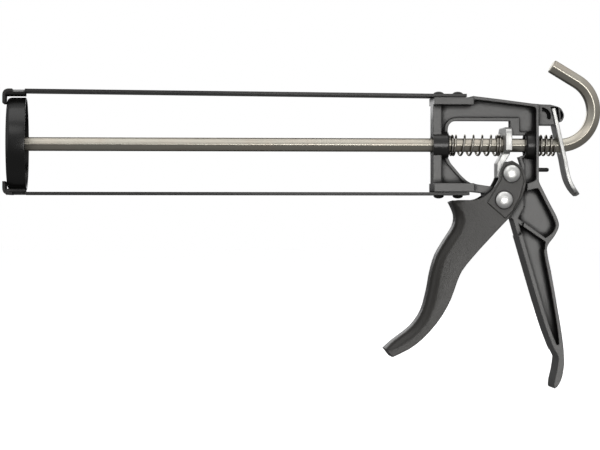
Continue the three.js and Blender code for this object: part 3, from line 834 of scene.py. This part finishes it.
def rivetPad(side, shape):
    # the shallow raised field round the two rivets
    outline = [
        (32.7, -21.7), (27.7, -30.0), (37.0, -38.0), (40.7, -34.4), (44.9, -26.4),
        (46.8, -18.6), (45.0, -12.5), (41.0, -9.3), (37.8, -10.2), (36.3, -13.6), (34.7, -18.6),
    ]
    half = shape["half"]
    low, high = side * (half - shape["padRoot"]), side * (half + shape["padHeight"])
    step = shape["padRound"]
    centre = Vector((39.0, -24.0))
    layers = [(low, 0.0), (high - side * step * 0.7, 0.0), (high, step)]
    points = []
    for y, inset in layers:
        for x, z in outline:
            spot = Vector((x, z))
            spot += (centre - spot).normalized() * inset
            points.append(at(spot.x, y, spot.y))
    n = len(outline)
    faces = [tuple(range(n)), tuple(range(2 * n, 3 * n))]
    for j in range(2):
        for i in range(n):
            k = (i + 1) % n
            faces.append((j * n + i, j * n + k, (j + 1) * n + k, (j + 1) * n + i))
    mesh = meshFrom("rivetPad", points, faces)
    smooth(mesh, 20)
    return mesh


triggerShell = cleaned("trigger", "triggerShell", "trigger")
joinMeshes(triggerShell, [rivetPad(-1, triggerShape), rivetPad(1, triggerShape)])
place(triggerShell, "pull", "trigger_paint", "trigger")

for node in ("drive_sleeve", "piston_washer"):
    carried = frame["nodes"][node]
    carried.data.materials.clear()
    carried.data.materials.append(looks["zinc"])
print("trigger made")


studio = {
    "floorDrop": 0.004,
    "floorSize": 14.0,
    "backdrop": 1.0,
    "sky": 0.6,
    "level": 0.32,
    "ground": 0.2,
    "behindLoss": 0.6,  # how much darker the room is behind the gun
    "floorGlow": 0.6,
}


def makeStage():
    low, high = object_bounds()
    z = low.z - studio["floorDrop"]
    half = studio["floorSize"] / 2
    corners = [(-half, -half, z), (half, -half, z), (half, half, z), (-half, half, z)]
    mesh = meshFrom("floor", corners, [(0, 1, 2, 3)])
    material, graph, coords = newLook("paleFloor")
    fleck = graph.noise(coords, 30.0, 3.0, 0.6)
    colour = graph.blend(fleck * 0.15, (0.95, 0.95, 0.95, 1), (0.9, 0.9, 0.9, 1))
    inputs = {"Base Color": colour, "Roughness": 0.9, "Emission Color": (1, 1, 1, 1)}
    finishLook(graph, inputs | {"Emission Strength": studio["floorGlow"]})
    mesh.materials.append(material)
    floor = bpy.data.objects.new("floor", mesh)
    bpy.context.scene.collection.objects.link(floor)
    floor.visible_glossy = False
    floor.visible_diffuse = False


def makeSky():
    world = bpy.data.worlds.new("studio")
    world.use_nodes = True
    world.node_tree.nodes.clear()
    graph = Graph(world.node_tree)
    direction = graph.add("ShaderNodeTexCoord")["Generated"]
    parts = graph.add("ShaderNodeSeparateXYZ", None, {"Vector": direction})
    up, side = parts["Z"], parts["Y"]
    above = graph.band(up, -0.05, 0.7)
    below = graph.band(up, -0.45, 0.0)
    behind = graph.band(side, -0.2, 0.6) * studio["behindLoss"]
    grey = studio["ground"] + below * (studio["level"] - studio["ground"])
    grey = grey + above * (studio["sky"] - studio["level"])
    grey = grey * (1.0 - behind)
    white = (1, 1, 1, 1)
    inputs = {"Color": white, "Strength": grey}
    light = graph.add("ShaderNodeBackground", None, inputs)["Background"]
    inputs = {"Color": white, "Strength": studio["backdrop"]}
    shown = graph.add("ShaderNodeBackground", None, inputs)["Background"]
    seen = graph.add("ShaderNodeLightPath")["Is Camera Ray"]
    mixed = graph.add("ShaderNodeMixShader", None, {0: seen, 1: light, 2: shown})["Shader"]
    graph.add("ShaderNodeOutputWorld", None, {"Surface": mixed})
    bpy.context.scene.world = world


def addPanel(name, place, aim, width, height, brightness, colour=(1, 1, 1)):
    # a soft box; brightness is what a mirror would show of it
    data = bpy.data.lights.new(name, "AREA")
    data.shape = "RECTANGLE"
    data.size, data.size_y = width, height
    data.energy = brightness * pi * width * height
    data.color = colour
    lamp = bpy.data.objects.new(name, data)
    lamp.location = place
    lamp.rotation_mode = "QUATERNION"
    lamp.rotation_quaternion = (Vector(aim) - Vector(place)).to_track_quat("-Z", "Y")
    bpy.context.scene.collection.objects.link(lamp)


panels = [
    # name, place, aim (gun mm), width, height, brightness, colour
    ("frontPanel", (215, -1350, -60), (20, 0, -40), 0.5, 0.46, 5.2, (1, 0.99, 0.97)),
    ("highPanel", (-420, -900, 620), (-120, 0, 0), 0.5, 0.35, 1.1, (1, 0.99, 0.97)),
    ("topPanel", (-40, -250, 1150), (-40, 0, 0), 1.6, 0.9, 0.9, (1, 0.99, 0.98)),
    ("leftPanel", (-1200, -350, 150), (0, 0, 0), 0.8, 0.7, 0.4, (1, 1, 1)),
    ("backPanel", (100, 1200, 500), (0, 0, 0), 1.4, 0.9, 1.2, (1, 1, 1)),
]

cameraSetup = {
    "distance": 1150.0,
    "yaw": 4.4,
    "aim": (-67.1, 0.0, -41.5),
    "lens": 133.4,
    "shift": -0.005,
}


def makeCamera(setup):
    yaw = radians(setup["yaw"])
    forward = Vector((sin(yaw), cos(yaw), 0))
    data = bpy.data.cameras.new("camera")
    data.sensor_width = 36
    data.lens = setup["lens"]
    data.shift_x = setup["shift"]
    data.clip_start, data.clip_end = 0.05, 50
    camera = bpy.data.objects.new("camera", data)
    camera.location = at(*setup["aim"]) - forward * setup["distance"] * mm
    camera.rotation_mode = "QUATERNION"
    camera.rotation_quaternion = forward.to_track_quat("-Z", "Y")
    bpy.context.scene.collection.objects.link(camera)
    bpy.context.scene.camera = camera


makeStage()
makeSky()
for name, spot, aim, width, height, brightness, colour in panels:
    addPanel(name, at(*spot), at(*aim), width, height, brightness, colour)
makeCamera(cameraSetup)
bpy.context.scene.view_settings.view_transform = "Standard"
print("stage, lights and camera made")
